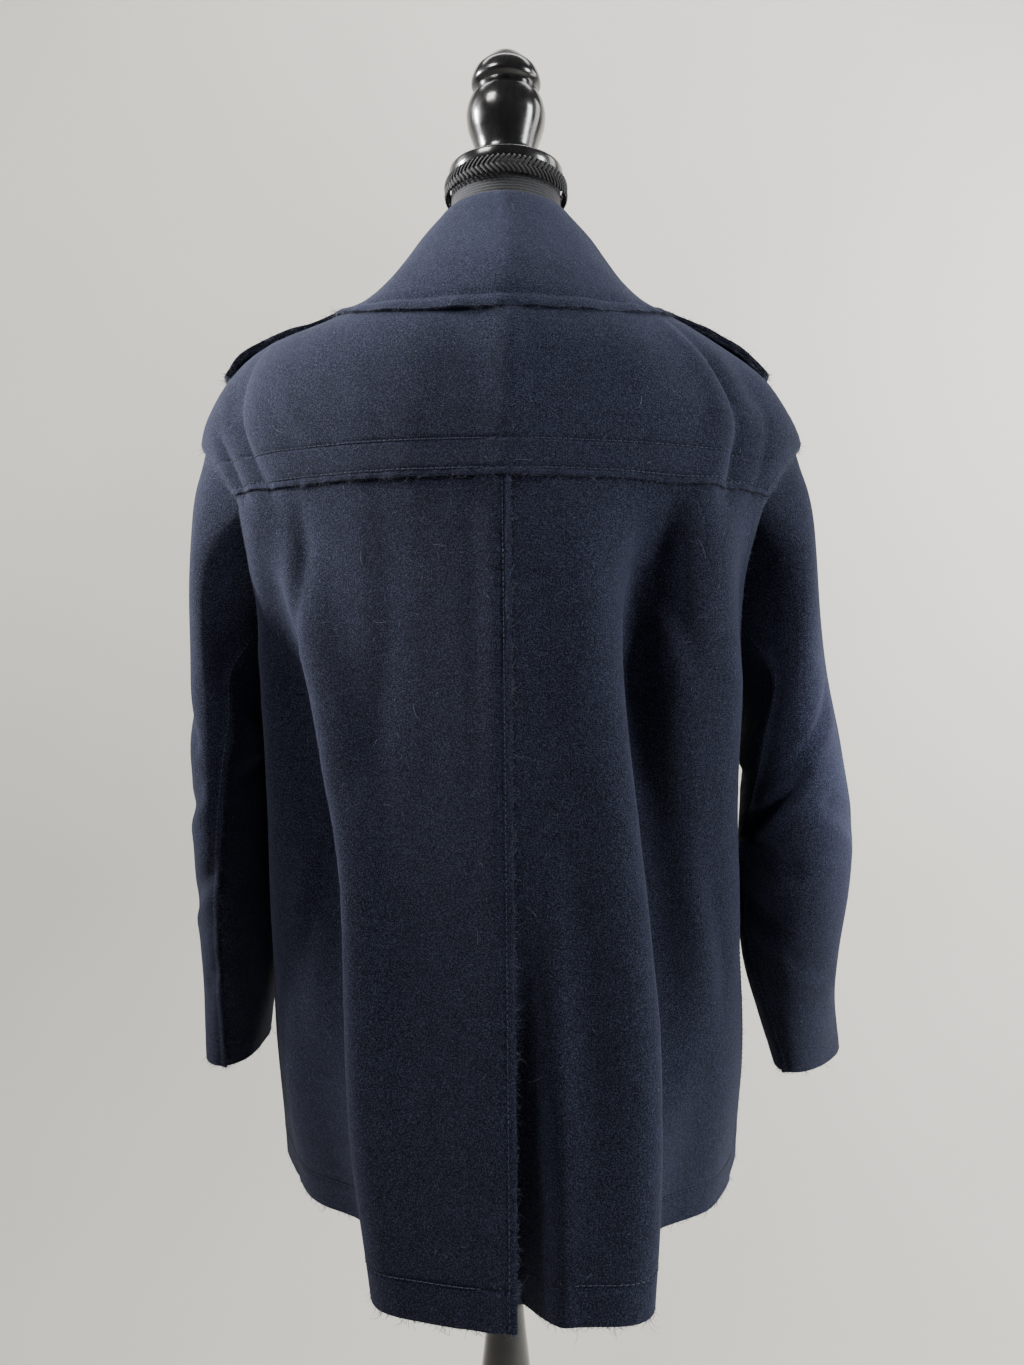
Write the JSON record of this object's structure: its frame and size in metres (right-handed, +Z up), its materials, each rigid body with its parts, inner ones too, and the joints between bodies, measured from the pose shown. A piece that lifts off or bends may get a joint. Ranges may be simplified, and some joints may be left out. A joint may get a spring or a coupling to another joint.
{
  "type": "toggle coat on dress form",
  "caption": "Navy wool toggle coat with a wide collar, shoulder straps, a back yoke and a centre back vent, worn on a limbless dress form with a turned stand.",
  "frame": {"origin": "centre of the base's flat underside, on the floor", "axes": "+Z up, -Y the way the coat's front faces, +X the wearer's left"},
  "size_m": [0.5976, 0.4236, 1.667],
  "materials": {
    "navy_wool": "felted wool melton, matt, with a short nap",
    "brown_horn": "polished horn",
    "charcoal_jersey": "fine matt jersey",
    "black_braid": "flat woven braid with a dull sheen",
    "black_lacquered_wood": "glossy black lacquer",
    "dark_steel": "dark polished steel tube",
    "dark_cord": "twisted matt cord",
    "black_leather": "smooth leather"
  },
  "bodies": {
    "root": {"back_left": "navy_wool", "back_right": "navy_wool", "back_yoke": "navy_wool", "front_left": "navy_wool", "front_right": "navy_wool", "collar": "navy_wool", "sleeve_left_upper": "navy_wool", "sleeve_left_under": "navy_wool", "sleeve_right_upper": "navy_wool", "sleeve_right_under": "navy_wool", "epaulette_left": "navy_wool", "epaulette_right": "navy_wool", "epaulette_button_left": "brown_horn", "epaulette_button_right": "brown_horn", "dress_form": "charcoal_jersey", "neck_braid": "black_braid", "finial": "black_lacquered_wood", "column": "black_lacquered_wood", "base": "black_lacquered_wood", "pole": "dark_steel", "toggle_1": "brown_horn", "toggle_cord_1": "dark_cord", "toggle_loop_1": "dark_cord", "toggle_patch_left_1": "black_leather", "toggle_patch_right_1": "black_leather", "toggle_2": "brown_horn", "toggle_cord_2": "dark_cord", "toggle_loop_2": "dark_cord", "toggle_patch_left_2": "black_leather", "toggle_patch_right_2": "black_leather", "toggle_3": "brown_horn", "toggle_cord_3": "dark_cord", "toggle_loop_3": "dark_cord", "toggle_patch_left_3": "black_leather", "toggle_patch_right_3": "black_leather"}
  },
  "joints": []
}
